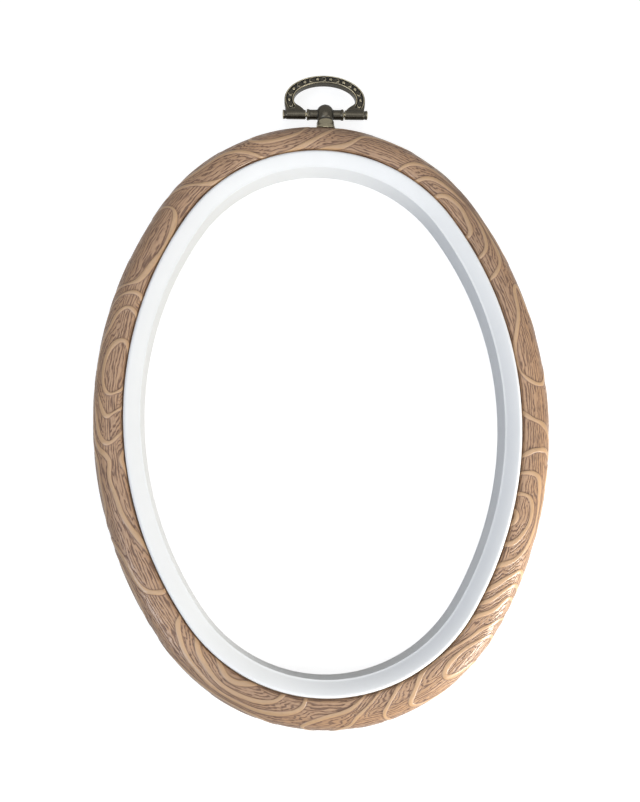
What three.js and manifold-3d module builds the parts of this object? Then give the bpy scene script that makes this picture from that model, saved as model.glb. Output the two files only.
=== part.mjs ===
// A flexible-rim embroidery hoop, oval, with an ornamental hanging bow.
// A soft vinyl outer ring with a wood-grain face is stretched round a rigid white inner ring, with the
// cloth held between them. A cast hanger is screwed through the outer ring, and its bow swings on a pin.
// Millimetres. The hoop lies on its back: X is its width, Y its length towards the hanger, Z up out of
// its front. The origin is at the bottom centre of the whole object's box.

import * as THREE from "three";
import { mergeVertices } from "three/addons/utils/BufferGeometryUtils.js";
import Module from "manifold-3d";

const wasm = await Module();
wasm.setup();

// The oval: the outline of the inner ring's outer wall, made of two end arcs and two side arcs.
const OVAL_HALF_WIDTH = 62.5;
const OVAL_HALF_LENGTH = 86.5;
const OVAL_END_TIGHTENING = 10.5;

// The inner ring: a moulded channel, open at the back, with a lip that the outer ring rests on.
const INNER_FACE_WIDTH = 5;
const INNER_FACE_STEP = 0.2;
const INNER_FACE_FALL = 2.3;
const INNER_FACE_CROWN = 0.35;
const INNER_WALL = 1.3;
const INNER_SHOULDER_RADIUS = 0.9;
const INNER_EDGE_RADIUS = 0.35;
const LIP_REACH = 3.2;
const LIP_THICKNESS = 1.6;
const LIP_EDGE_RADIUS = 0.5;

// The outer ring: a D section with its flat side against the inner ring.
const CLOTH_GAP = 0.3;
const OUTER_WIDTH = 9.4;
const OUTER_HEIGHT = 9.4;
const OUTER_CORNER_RADIUS = 0.9;
const OUTER_FRONT_FALL = 0.4;

// The hanger's post: a saddle-footed base, a neck, a ball with a pointed tip, and a cross barrel. It stands
// off the middle of the hoop by as much as the soft ring was turned when it was stretched on.
const HANGER_OFFSET = 2.9;
const PIN_HEIGHT = 5.1;
const BASE_FOOT_RADIUS = 3.3;
const BASE_TOP_RADIUS = 3;
const BASE_HEIGHT = 2.3;
const BASE_EDGE = 0.3;
const SADDLE_GAP = 0.3;
const NECK_INSET = 0.35;
const BALL_RADIUS = 2.75;
const BALL_RISE = 3.2;
const BALL_DROP = 2.75;
const BALL_FULLNESS = 4;
const FINIAL_RISE = 0.55;
const FINIAL_START_DEG = 70;
const BARREL_HALF_LENGTH = 6.3;
const BARREL_RADIUS = 1.65;
const BARREL_RIM_HEIGHT = 0.2;
const BARREL_RIM_LENGTH = 0.8;
const BARREL_RIM_EDGE = 0.2;

// The pin, and the knuckles that turn on it.
const PIN_RADIUS = 0.8;
const PIN_CLEARANCE = 0.1;
const PIN_END_RECESS = 0.15;
const KNUCKLE_RADIUS = 1.55;
const KNUCKLE_GAP = 0.3;
const KNUCKLE_REACH = 1.5;
const KNUCKLE_EDGE = 0.15;
const KNUCKLE_GROOVE_DEPTH = 0.2;
const KNUCKLE_GROOVE_WIDTH = 0.4;

// The bow: an arch on two feet, which flare towards each other as webs on the knuckles.
const BOW_HALF_WIDTH = 13.75;
const BOW_HEIGHT = 13.9;
const BOW_SHOULDER_HEIGHT = 5;
const BOW_SIDE_WIDTH = 3.25;
const BOW_CROWN_WIDTH = 2.75;
const BOW_THICKNESS = 2.7;
const BOW_EDGE_BEVEL = 0.35;
const BOW_FOOT_TUCK = 0.85;
const WEB_SETBACK = 0.65;
const WEB_FULLNESS = 0.55;

// The bow's ornament: beads and crescents by turns, in a channel sunk into its front.
const CHANNEL_RIM = 0.45;
const CHANNEL_DEPTH = 0.4;
const CHANNEL_START_DEG = -14;
const ORNAMENT_START_DEG = -7;
const BEAD_COUNT = 7;
const BEAD_RADIUS = 0.6;
const CRESCENT_RADIUS = 0.62;
const CRESCENT_WIRE = 0.22;
const CRESCENT_MOUTH = 0.2;

// The fixing: a screw and a washer, sunk into the outer ring's inner side.
const SHANK_RADIUS = 1.7;
const FIXING_CLEARANCE = 0.15;
const SCREW_RADIUS = 1;
const SCREW_LENGTH = 6.2;
const SCREW_TIP = 0.4;
const SCREW_HEAD_RADIUS = 2.1;
const SCREW_HEAD_HEIGHT = 0.9;
const SCREW_HEAD_EDGE = 0.25;
const SCREW_SLOT_WIDTH = 0.5;
const SCREW_SLOT_DEPTH = 0.45;
const WASHER_RADIUS = 2.7;
const WASHER_THICKNESS = 0.5;
const HEAD_SETBACK = 0.3;

// How finely curves are divided, and how far a cutter or a join runs past the surface it meets.
const OVAL_END_STEPS = 22;
const OVAL_SIDE_STEPS = 18;
const ROUND_STEPS = 24;
const BALL_STEPS = 10;
const SECTION_STEPS = 4;
const EDGE_STEPS = 2;
const BOW_STEPS = 14;
const BEAD_SIDES = 8;
const WIRE_SIDES = 5;
const CRESCENT_STEPS = 12;
const SAME_POINT = 0.001;
const OVERRUN = 1;

// Places that follow from the sizes. Heights are along Z, and distances along the hoop are along Y.
const outerRingBottom = LIP_THICKNESS + CLOTH_GAP;
const outerRingTop = outerRingBottom + OUTER_HEIGHT;
const ringMiddle = outerRingBottom + OUTER_HEIGHT / 2;
const outerWallTop = outerRingTop - OUTER_FRONT_FALL - INNER_FACE_STEP;
const openingWallTop = outerWallTop - INNER_FACE_FALL;
const rimInnerY = OVAL_HALF_LENGTH + CLOTH_GAP;
const rimOuterY = rimInnerY + OUTER_WIDTH;
const pinY = rimOuterY + PIN_HEIGHT;
const boxCentreY = (pinY + BOW_HEIGHT - rimOuterY) / 2;
const knuckleStart = BARREL_HALF_LENGTH + KNUCKLE_GAP;
const footHalfWidth = BOW_HALF_WIDTH - BOW_FOOT_TUCK;
const barHalfLength = footHalfWidth + KNUCKLE_REACH;
const pinBoreRadius = PIN_RADIUS + PIN_CLEARANCE;
const headBottomY = rimInnerY + HEAD_SETBACK;
const headTopY = headBottomY + SCREW_HEAD_HEIGHT;
const washerBottomY = headTopY + FIXING_CLEARANCE;
const washerTopY = washerBottomY + WASHER_THICKNESS;
const shankBottomY = washerTopY + FIXING_CLEARANCE;
const screwEndY = headTopY + SCREW_LENGTH;

const woodVinyl = new THREE.MeshStandardMaterial({ color: 0xb38a63, roughness: 0.45, metalness: 0 });
const whitePlastic = new THREE.MeshStandardMaterial({ color: 0xf2f2f0, roughness: 0.35, metalness: 0 });
const agedBrass = new THREE.MeshStandardMaterial({ color: 0x5b5241, roughness: 0.4, metalness: 0.9 });
const steel = new THREE.MeshStandardMaterial({ color: 0xa9aaa8, roughness: 0.35, metalness: 1 });

// A closed geometry as a solid that can be joined and cut.
function solidOf(geometry) {
  const bare = geometry.clone();
  bare.deleteAttribute("normal");
  bare.deleteAttribute("uv");
  const merged = mergeVertices(bare, 1e-4);
  return new wasm.Manifold(
    new wasm.Mesh({
      numProp: 3,
      vertProperties: merged.attributes.position.array,
      triVerts: new Uint32Array(merged.index.array),
    }),
  );
}

function meshOf(name, solid, material) {
  const made = solid.getMesh();
  const geometry = new THREE.BufferGeometry();
  geometry.setAttribute("position", new THREE.BufferAttribute(new Float32Array(made.vertProperties), 3));
  geometry.setIndex(new THREE.BufferAttribute(new Uint32Array(made.triVerts), 1));
  geometry.computeVertexNormals();
  const mesh = new THREE.Mesh(geometry, material);
  mesh.name = name;
  return mesh;
}

// A closed shape as one outline, with no point repeated where its curves meet.
function cleanOutline(shape, divisions) {
  const points = shape.getPoints(divisions);
  return points.filter((p, i) => p.distanceTo(points[(i + 1) % points.length]) > SAME_POINT);
}

// Points along an arc that is centred on a direction, each with its outward normal.
function arcStations(x, y, radius, middle, halfSweep, steps) {
  return Array.from({ length: steps }, (_, i) => {
    const angle = middle + halfSweep * ((2 * i) / steps - 1);
    const normal = new THREE.Vector2(Math.cos(angle), Math.sin(angle));
    return { point: new THREE.Vector2(x, y).addScaledVector(normal, radius), normal };
  });
}

// Stations round the oval, counter-clockwise from the right-hand side arc.
function ovalStations() {
  const endRadius = OVAL_HALF_WIDTH - OVAL_END_TIGHTENING;
  const endCentre = OVAL_HALF_LENGTH - endRadius;
  const sideRadius = (OVAL_HALF_WIDTH ** 2 + endCentre ** 2 - endRadius ** 2) / (2 * OVAL_END_TIGHTENING);
  const sideCentre = sideRadius - OVAL_HALF_WIDTH;
  const sideSweep = Math.atan2(endCentre, sideCentre);
  const endSweep = Math.PI / 2 - sideSweep;
  return [
    ...arcStations(-sideCentre, 0, sideRadius, 0, sideSweep, OVAL_SIDE_STEPS),
    ...arcStations(0, endCentre, endRadius, Math.PI / 2, endSweep, OVAL_END_STEPS),
    ...arcStations(sideCentre, 0, sideRadius, Math.PI, sideSweep, OVAL_SIDE_STEPS),
    ...arcStations(0, -endCentre, endRadius, -Math.PI / 2, endSweep, OVAL_END_STEPS),
  ];
}

// A section swept round the oval. Its x is the distance outwards from the oval, and its y is the height.
function sweptRound(section) {
  const profile = THREE.ShapeUtils.isClockWise(section) ? [...section].reverse() : section;
  const stations = ovalStations();
  const positions = stations.flatMap(({ point, normal }) =>
    profile.flatMap(({ x, y }) => [point.x + normal.x * x, point.y + normal.y * x, y]),
  );
  const corner = (station, i) => (station % stations.length) * profile.length + (i % profile.length);
  const triangles = stations.flatMap((_, s) =>
    profile.flatMap((__, i) => {
      const [a, b, c, d] = [corner(s, i), corner(s + 1, i), corner(s + 1, i + 1), corner(s, i + 1)];
      return [a, b, c, a, c, d];
    }),
  );
  const geometry = new THREE.BufferGeometry();
  geometry.setAttribute("position", new THREE.Float32BufferAttribute(positions, 3));
  geometry.setIndex(triangles);
  return solidOf(geometry);
}

// A profile of radius and height turned about Y.
function turned(profile) {
  return solidOf(new THREE.LatheGeometry(profile.map(([r, y]) => new THREE.Vector2(r, y)), ROUND_STEPS));
}

// A round bar along Y from one height to another.
function roundBar(radius, from, to) {
  return turned([[0, from], [radius, from], [radius, to], [0, to]]);
}

// A solid turned so that what pointed along Y points along X, on the pin's axis.
function onPinAxis(solid) {
  return solid.rotate([0, 0, -90]).translate([0, pinY, 0]);
}

// A solid moved from the oval's plane of symmetry to where the hanger stands.
function atHanger(solid) {
  return solid.translate([HANGER_OFFSET, 0, ringMiddle]);
}

// The inner ring's section: outer wall, face that falls towards the opening, opening wall, and back lip.
function innerRing() {
  const openingX = -INNER_FACE_WIDTH;
  const edge = INNER_EDGE_RADIUS;
  const lipEdge = LIP_EDGE_RADIUS;
  const faceStartX = openingX + edge;
  const faceTop = outerWallTop - INNER_FACE_CROWN / 2;
  const section = new THREE.Shape();
  section.moveTo(faceStartX, 0);
  section.lineTo(openingX + INNER_WALL, 0);
  section.lineTo(openingX + INNER_WALL, openingWallTop - INNER_WALL);
  section.lineTo(-INNER_WALL, outerWallTop - 2 * INNER_WALL);
  section.lineTo(-INNER_WALL, 0);
  section.lineTo(LIP_REACH - lipEdge, 0);
  section.quadraticCurveTo(LIP_REACH, 0, LIP_REACH, lipEdge);
  section.lineTo(LIP_REACH, LIP_THICKNESS - lipEdge);
  section.quadraticCurveTo(LIP_REACH, LIP_THICKNESS, LIP_REACH - lipEdge, LIP_THICKNESS);
  section.lineTo(0, LIP_THICKNESS);
  section.lineTo(0, outerWallTop - INNER_SHOULDER_RADIUS);
  section.quadraticCurveTo(0, outerWallTop, -INNER_SHOULDER_RADIUS, faceTop);
  section.quadraticCurveTo(
    -INNER_FACE_WIDTH / 2, (outerWallTop + openingWallTop) / 2 + INNER_FACE_CROWN,
    faceStartX, openingWallTop,
  );
  section.quadraticCurveTo(openingX, openingWallTop, openingX, openingWallTop - edge);
  section.lineTo(openingX, edge);
  section.quadraticCurveTo(openingX, 0, faceStartX, 0);
  return sweptRound(cleanOutline(section, EDGE_STEPS));
}

// The outer ring's section, grown all round by a gap.
function outerSection(gap) {
  const inside = CLOTH_GAP - gap;
  const bottom = outerRingBottom - gap;
  const top = outerRingTop + gap;
  const roundCentre = CLOTH_GAP + OUTER_WIDTH - OUTER_HEIGHT / 2;
  const corner = OUTER_CORNER_RADIUS;
  const cornerTop = top - OUTER_FRONT_FALL;
  const section = new THREE.Shape();
  section.moveTo(inside, bottom + corner);
  section.quadraticCurveTo(inside, bottom, inside + corner, bottom);
  section.lineTo(roundCentre, bottom);
  section.absarc(roundCentre, ringMiddle, OUTER_HEIGHT / 2 + gap, -Math.PI / 2, Math.PI / 2, false);
  section.quadraticCurveTo(roundCentre / 2, top, inside + corner, cornerTop);
  section.quadraticCurveTo(inside, cornerTop, inside, cornerTop - corner);
  return cleanOutline(section, SECTION_STEPS);
}

function outerRing() {
  const start = rimInnerY - OVERRUN;
  const shankBore = roundBar(SHANK_RADIUS + FIXING_CLEARANCE, start, rimOuterY + OVERRUN);
  const washerSeat = roundBar(WASHER_RADIUS + FIXING_CLEARANCE, start, washerTopY + FIXING_CLEARANCE);
  return sweptRound(outerSection(0)).subtract(atHanger(shankBore.add(washerSeat)));
}

// The base and the neck, whose foot is hollowed to sit on the outer ring's round side.
function saddledBase(neckRadius, neckTop) {
  const baseTop = rimOuterY + BASE_HEIGHT;
  const sunk = rimOuterY - BASE_FOOT_RADIUS;
  const base = turned([
    [0, sunk],
    [BASE_FOOT_RADIUS, sunk],
    [BASE_FOOT_RADIUS, rimOuterY],
    [BASE_TOP_RADIUS, baseTop - BASE_EDGE],
    [BASE_TOP_RADIUS - BASE_EDGE, baseTop],
    [neckRadius, baseTop],
    [neckRadius, neckTop],
    [0, neckTop],
  ]);
  return base.subtract(sweptRound(outerSection(SADDLE_GAP)).translate([-HANGER_OFFSET, 0, -ringMiddle]));
}

// The ball with its pointed tip, about its own centre. Its profile is a superellipse, fuller than a circle.
function ballWithTip(neckRadius) {
  const swell = (part) => Math.sign(part) * Math.abs(part) ** (2 / BALL_FULLNESS);
  const lowest = -Math.acos((neckRadius / BALL_RADIUS) ** (BALL_FULLNESS / 2));
  const highest = THREE.MathUtils.degToRad(FINIAL_START_DEG);
  const round = Array.from({ length: BALL_STEPS + 1 }, (_, i) => {
    const angle = lowest + ((highest - lowest) * i) / BALL_STEPS;
    const reach = angle > 0 ? BALL_RISE : BALL_DROP;
    return [BALL_RADIUS * swell(Math.cos(angle)), reach * swell(Math.sin(angle))];
  });
  return turned([[0, round[0][1]], ...round, [0, BALL_RISE + FINIAL_RISE]]);
}

// The cross barrel, with a raised rim at each end.
function crossBarrel() {
  const rimRadius = BARREL_RADIUS + BARREL_RIM_HEIGHT;
  const rimStart = BARREL_HALF_LENGTH - BARREL_RIM_LENGTH;
  const half = [
    [BARREL_RADIUS, rimStart - BARREL_RIM_HEIGHT],
    [rimRadius, rimStart],
    [rimRadius, BARREL_HALF_LENGTH - BARREL_RIM_EDGE],
    [rimRadius - BARREL_RIM_EDGE, BARREL_HALF_LENGTH],
    [0, BARREL_HALF_LENGTH],
  ];
  return onPinAxis(turned([...half.map(([r, y]) => [r, -y]).reverse(), ...half]));
}

function pinBore() {
  return onPinAxis(roundBar(pinBoreRadius, -barHalfLength - OVERRUN, barHalfLength + OVERRUN));
}

function hangerPost() {
  const neckRadius = BALL_RADIUS - NECK_INSET;
  const shank = roundBar(SHANK_RADIUS, shankBottomY, rimOuterY + BASE_HEIGHT - BASE_EDGE);
  const screwBore = roundBar(
    SCREW_RADIUS + FIXING_CLEARANCE,
    shankBottomY - OVERRUN,
    screwEndY + FIXING_CLEARANCE,
  );
  return saddledBase(neckRadius, pinY)
    .add(shank)
    .add(ballWithTip(neckRadius).translate([0, pinY, 0]))
    .add(crossBarrel())
    .subtract(pinBore())
    .subtract(screwBore);
}

// The half axes of the arch's ellipse at a distance across it, outwards from the middle of its width.
function archHalfAxes(across) {
  const sideShare = BOW_SIDE_WIDTH / BOW_CROWN_WIDTH;
  return {
    x: BOW_HALF_WIDTH - BOW_SIDE_WIDTH / 2 + across * sideShare,
    y: BOW_HEIGHT - BOW_SHOULDER_HEIGHT - BOW_CROWN_WIDTH / 2 + across,
  };
}

// The bow's front outline, up one side, over the arch and down the other, then back along the inside.
function bowOutline() {
  const outer = archHalfAxes(BOW_CROWN_WIDTH / 2);
  const inner = archHalfAxes(-BOW_CROWN_WIDTH / 2);
  const shoulder = BOW_SHOULDER_HEIGHT;
  const webFoot = knuckleStart + WEB_SETBACK;
  const webTop = KNUCKLE_RADIUS - KNUCKLE_EDGE;
  const webLeanX = (inner.x - webFoot) * WEB_FULLNESS;
  const webLeanY = (shoulder - webTop) * WEB_FULLNESS;
  const shape = new THREE.Shape();
  shape.moveTo(footHalfWidth, 0);
  shape.quadraticCurveTo(outer.x, shoulder / 2, outer.x, shoulder);
  shape.absellipse(0, shoulder, outer.x, outer.y, 0, Math.PI, false);
  shape.quadraticCurveTo(-outer.x, shoulder / 2, -footHalfWidth, 0);
  shape.lineTo(-webFoot, 0);
  shape.lineTo(-webFoot, webTop);
  shape.bezierCurveTo(
    -webFoot - webLeanX, webTop + webLeanY, -inner.x, shoulder - webLeanY, -inner.x, shoulder,
  );
  shape.absellipse(0, shoulder, inner.x, inner.y, Math.PI, 0, true);
  shape.bezierCurveTo(inner.x, shoulder - webLeanY, webFoot + webLeanX, webTop + webLeanY, webFoot, webTop);
  shape.lineTo(webFoot, 0);
  return cleanOutline(shape, BOW_STEPS);
}

// The flat bow with bevelled edges, about the pin's axis.
function bowPlate() {
  const depth = BOW_THICKNESS - 2 * BOW_EDGE_BEVEL;
  const plate = new THREE.ExtrudeGeometry(new THREE.Shape(bowOutline()), {
    depth,
    bevelEnabled: true,
    bevelThickness: BOW_EDGE_BEVEL,
    bevelSize: BOW_EDGE_BEVEL,
    bevelOffset: -BOW_EDGE_BEVEL,
    bevelSegments: 1,
  });
  return solidOf(plate.translate(0, 0, -depth / 2));
}

// A channel along the middle of the bow's front, from one shoulder over the crown to the other.
function bowChannel() {
  const halfWidth = BOW_CROWN_WIDTH / 2 - CHANNEL_RIM;
  const outer = archHalfAxes(halfWidth);
  const inner = archHalfAxes(-halfWidth);
  const start = THREE.MathUtils.degToRad(CHANNEL_START_DEG);
  const shape = new THREE.Shape();
  shape.absellipse(0, BOW_SHOULDER_HEIGHT, outer.x, outer.y, start, Math.PI - start, false);
  shape.absellipse(0, BOW_SHOULDER_HEIGHT, inner.x, inner.y, Math.PI - start, start, true);
  const outline = new THREE.Shape(cleanOutline(shape, BOW_STEPS));
  const cut = new THREE.ExtrudeGeometry(outline, { depth: BOW_THICKNESS, bevelEnabled: false });
  return solidOf(cut.translate(0, 0, BOW_THICKNESS / 2 - CHANNEL_DEPTH));
}

function bead() {
  return solidOf(new THREE.SphereGeometry(BEAD_RADIUS, BEAD_SIDES, BEAD_SIDES));
}

// Part of a ring of wire, whose mouth is on its +X side.
function crescent() {
  const ring = solidOf(new THREE.TorusGeometry(CRESCENT_RADIUS, CRESCENT_WIRE, WIRE_SIDES, CRESCENT_STEPS));
  const reach = 4 * CRESCENT_RADIUS;
  const kept = solidOf(new THREE.BoxGeometry(reach, reach, reach));
  return ring.intersect(kept.translate([CRESCENT_MOUTH - reach / 2, 0, 0]));
}

// Crescents and beads by turns along the channel's floor, each crescent open towards the crown.
function ornaments() {
  const { x, y } = archHalfAxes(0);
  const start = THREE.MathUtils.degToRad(ORNAMENT_START_DEG);
  const line = new THREE.EllipseCurve(0, BOW_SHOULDER_HEIGHT, x, y, start, Math.PI - start);
  const floor = BOW_THICKNESS / 2 - CHANNEL_DEPTH;
  return Array.from({ length: 2 * BEAD_COUNT + 1 }, (_, i) => {
    const along = i / (2 * BEAD_COUNT);
    const place = line.getPointAt(along);
    const pastCrown = along > 0.5 ? Math.PI : 0;
    const heading = THREE.MathUtils.radToDeg(line.getTangentAt(along).angle() + pastCrown);
    return (i % 2 ? bead() : crescent()).rotate([0, 0, heading]).translate([place.x, place.y, floor]);
  });
}

// One knuckle, with a groove near its outer end.
function knuckle() {
  const grooveStart = barHalfLength - KNUCKLE_EDGE - 3 * KNUCKLE_GROOVE_WIDTH;
  return turned([
    [0, knuckleStart],
    [KNUCKLE_RADIUS - KNUCKLE_EDGE, knuckleStart],
    [KNUCKLE_RADIUS, knuckleStart + KNUCKLE_EDGE],
    [KNUCKLE_RADIUS, grooveStart],
    [KNUCKLE_RADIUS - KNUCKLE_GROOVE_DEPTH, grooveStart + KNUCKLE_GROOVE_WIDTH],
    [KNUCKLE_RADIUS, barHalfLength - KNUCKLE_EDGE],
    [KNUCKLE_RADIUS - KNUCKLE_EDGE, barHalfLength],
    [0, barHalfLength],
  ]);
}

function hangerBow() {
  const arch = ornaments().reduce((bow, piece) => bow.add(piece), bowPlate().subtract(bowChannel()));
  const right = onPinAxis(knuckle());
  return arch
    .translate([0, pinY, 0])
    .add(right)
    .add(right.mirror([1, 0, 0]))
    .subtract(pinBore());
}

function hingePin() {
  const half = barHalfLength - PIN_END_RECESS;
  return onPinAxis(roundBar(PIN_RADIUS, -half, half));
}

function fixingScrew() {
  const screw = turned([
    [0, headBottomY],
    [SCREW_HEAD_RADIUS - SCREW_HEAD_EDGE, headBottomY],
    [SCREW_HEAD_RADIUS, headBottomY + SCREW_HEAD_EDGE],
    [SCREW_HEAD_RADIUS, headTopY],
    [SCREW_RADIUS, headTopY],
    [SCREW_RADIUS, screwEndY - SCREW_TIP],
    [SCREW_RADIUS - SCREW_TIP, screwEndY],
    [0, screwEndY],
  ]);
  const slotLength = 2 * (SCREW_HEAD_RADIUS + OVERRUN);
  const slot = solidOf(new THREE.BoxGeometry(slotLength, 2 * SCREW_SLOT_DEPTH, SCREW_SLOT_WIDTH));
  return screw.subtract(slot.translate([0, headBottomY, 0]));
}

function fixingWasher() {
  const hole = roundBar(SCREW_RADIUS + FIXING_CLEARANCE, washerBottomY - OVERRUN, washerTopY + OVERRUN);
  return roundBar(WASHER_RADIUS, washerBottomY, washerTopY).subtract(hole);
}

const hoop = new THREE.Group();
hoop.add(
  meshOf("inner_ring", innerRing(), whitePlastic),
  meshOf("outer_ring", outerRing(), woodVinyl),
  meshOf("hanger_post", atHanger(hangerPost()), agedBrass),
  meshOf("hanger_bow", atHanger(hangerBow()), agedBrass),
  meshOf("hinge_pin", atHanger(hingePin()), agedBrass),
  meshOf("fixing_screw", atHanger(fixingScrew()), steel),
  meshOf("fixing_washer", atHanger(fixingWasher()), steel),
);
hoop.position.y = -boxCentreY;

export default hoop;
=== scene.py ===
import math

import bpy
import numpy as np
from bpy.props import FloatProperty, FloatVectorProperty, IntProperty, PointerProperty
from mathutils import Euler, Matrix, Vector, kdtree, noise


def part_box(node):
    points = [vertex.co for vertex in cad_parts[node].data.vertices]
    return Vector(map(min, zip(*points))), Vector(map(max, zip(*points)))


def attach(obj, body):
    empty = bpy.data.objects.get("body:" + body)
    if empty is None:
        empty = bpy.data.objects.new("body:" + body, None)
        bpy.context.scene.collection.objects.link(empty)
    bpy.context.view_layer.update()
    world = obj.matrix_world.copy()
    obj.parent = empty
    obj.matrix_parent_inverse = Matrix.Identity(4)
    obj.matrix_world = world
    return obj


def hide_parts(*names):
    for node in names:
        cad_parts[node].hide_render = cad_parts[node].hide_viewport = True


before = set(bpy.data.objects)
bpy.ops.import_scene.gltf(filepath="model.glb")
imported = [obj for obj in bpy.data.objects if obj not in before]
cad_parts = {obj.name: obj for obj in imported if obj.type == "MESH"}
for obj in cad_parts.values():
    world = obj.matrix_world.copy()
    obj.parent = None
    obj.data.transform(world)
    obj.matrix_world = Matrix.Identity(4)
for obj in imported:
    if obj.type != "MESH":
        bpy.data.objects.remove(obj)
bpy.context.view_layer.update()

bl_info = {
    "name": "Oval Embroidery Hoop",
    "version": (1, 0, 0),
    "blender": (4, 5, 0),
    "location": "View3D > Sidebar > Hoop",
    "description": "Models an oval embroidery hoop with a wood-grain rim and a hanging bow",
    "category": "Add Mesh",
}

MM = 0.001
MERGE = 1e-6
SPIN_UP = (0, 0, -1)  # the spin operator turns left-handed about its axis

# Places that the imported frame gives.
inner_low, inner_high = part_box("inner_ring")
outer_low, outer_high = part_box("outer_ring")
bow_low, bow_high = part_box("hanger_bow")
pin_low, pin_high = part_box("hinge_pin")
screw_low, screw_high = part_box("fixing_screw")
washer_low, washer_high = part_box("fixing_washer")

# The oval: the outline of the inner ring's outer wall, made of two end arcs and two side arcs.
LIP_REACH = 3.2 * MM
OVAL_HALF_WIDTH = (inner_high.x - inner_low.x) / 2 - LIP_REACH
OVAL_HALF_LENGTH = (inner_high.y - inner_low.y) / 2 - LIP_REACH
OVAL_Y = (inner_high.y + inner_low.y) / 2
END_TIGHTENING = 10.5 * MM
END_RADIUS = OVAL_HALF_WIDTH - END_TIGHTENING
END_CENTRE = OVAL_HALF_LENGTH - END_RADIUS
SIDE_RADIUS = (OVAL_HALF_WIDTH**2 + END_CENTRE**2 - END_RADIUS**2) / (2 * (OVAL_HALF_WIDTH - END_RADIUS))
SIDE_CENTRE = SIDE_RADIUS - OVAL_HALF_WIDTH
SIDE_SWEEP = math.atan2(END_CENTRE, SIDE_CENTRE)
END_SWEEP = math.pi / 2 - SIDE_SWEEP

# The outer ring's D section, as distances outwards from the oval.
CLOTH_GAP = 0.3 * MM
OUTER_WIDTH = outer_high.x - OVAL_HALF_WIDTH - CLOTH_GAP
OUTER_BOTTOM, OUTER_TOP = outer_low.z, outer_high.z
RING_MIDDLE = (OUTER_BOTTOM + OUTER_TOP) / 2
ROUND_RADIUS = (OUTER_TOP - OUTER_BOTTOM) / 2
ROUND_CENTRE = CLOTH_GAP + OUTER_WIDTH - ROUND_RADIUS
OUTER_CORNER = 0.9 * MM
OUTER_FRONT_FALL = 0.4 * MM

# The inner ring's channel section.
INNER_STEP = 0.2 * MM
INNER_WALL_TOP = OUTER_TOP - OUTER_FRONT_FALL - INNER_STEP
INNER_FACE = 5 * MM
INNER_FALL = 2.3 * MM
INNER_SHOULDER = 0.9 * MM
INNER_EDGE = 0.35 * MM
LIP_THICKNESS = OUTER_BOTTOM - CLOTH_GAP
LIP_EDGE = 0.5 * MM

# The hanger.
PIN_X, PIN_Y = (pin_low.x + pin_high.x) / 2, (pin_low.y + pin_high.y) / 2
PIN_CENTRE = Vector((PIN_X, PIN_Y, RING_MIDDLE))
RIM_OUTER_Y = outer_high.y
RIM_DROP = RIM_OUTER_Y - PIN_Y
BASE_FOOT_RADIUS, BASE_TOP_RADIUS, BASE_HEIGHT, BASE_EDGE = 3.3 * MM, 3.0 * MM, 2.3 * MM, 0.3 * MM
SADDLE_GAP = 0.12 * MM
BALL_RADIUS, BALL_RISE, BALL_DROP = 3.0 * MM, 3.2 * MM, 3.1 * MM
BALL_FULLNESS, BALL_START, BALL_END = 2.4, -85, 66
SADDLE_SWEEP = math.radians(10)
WEB_SETBACK, WEB_FULLNESS = 0.65 * MM, 0.55
CHANNEL_START, ORNAMENT_START = -25, -18
SCREW_RADIUS, HEAD_HEIGHT, THREAD_DEPTH, THREAD_TURNS = MM, 0.9 * MM, 0.2 * MM, 9
SLOT_HALF, SLOT_DEPTH = 0.25 * MM, 0.45 * MM
NECK_RADIUS, FINIAL_RISE = 2.4 * MM, 0.55 * MM
BARREL_HALF, BARREL_RADIUS, BARREL_RIM, BARREL_RIM_LENGTH = 6.3 * MM, 1.65 * MM, 0.2 * MM, 0.8 * MM
PIN_RADIUS, PIN_CLEARANCE = (pin_high.z - pin_low.z) / 2, 0.1 * MM
KNUCKLE_RADIUS, KNUCKLE_GAP, KNUCKLE_EDGE = 1.55 * MM, 0.3 * MM, 0.15 * MM
KNUCKLE_START, KNUCKLE_END = BARREL_HALF + KNUCKLE_GAP, bow_high.x - PIN_X
BOW_HALF_WIDTH, BOW_HEIGHT = 13.75 * MM, bow_high.y - PIN_Y
BOW_SHOULDER, BOW_FOOT_TUCK = 5 * MM, 0.85 * MM
BOW_SIDE_WIDTH, BOW_CROWN_WIDTH, BOW_THICKNESS = 3.25 * MM, 2.75 * MM, 2.7 * MM
SHANK_RADIUS, FIXING_CLEARANCE = 1.7 * MM, 0.15 * MM
WASHER_RADIUS = (washer_high.x - washer_low.x) / 2
HEAD_RADIUS = (screw_high.x - screw_low.x) / 2

# The camera that the photograph was fitted with.
CAMERA_PLACE = (-19.538 * MM, OVAL_Y - 36.269 * MM, RING_MIDDLE + 233.934 * MM)
CAMERA_TURN = (9.5655, -4.1134, -1.6110)
CAMERA_LENS = 33.592


def linear(red, green, blue):
    """A colour in linear light, from its screen values of 0 to 255."""
    shares = [value / 255 for value in (red, green, blue)]
    return tuple(s / 12.92 if s <= 0.04045 else ((s + 0.055) / 1.055) ** 2.4 for s in shares)


def length_property(name, description, default):
    return FloatProperty(
        name=name, description=description, default=default, unit="LENGTH", subtype="DISTANCE"
    )


def power_property(name, description, default):
    return FloatProperty(name=name, description=description, default=default, min=0, unit="POWER")


def colour_property(name, description, default):
    return FloatVectorProperty(
        name=name, description=description, default=default, subtype="COLOR", size=3, min=0, max=1
    )


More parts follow.
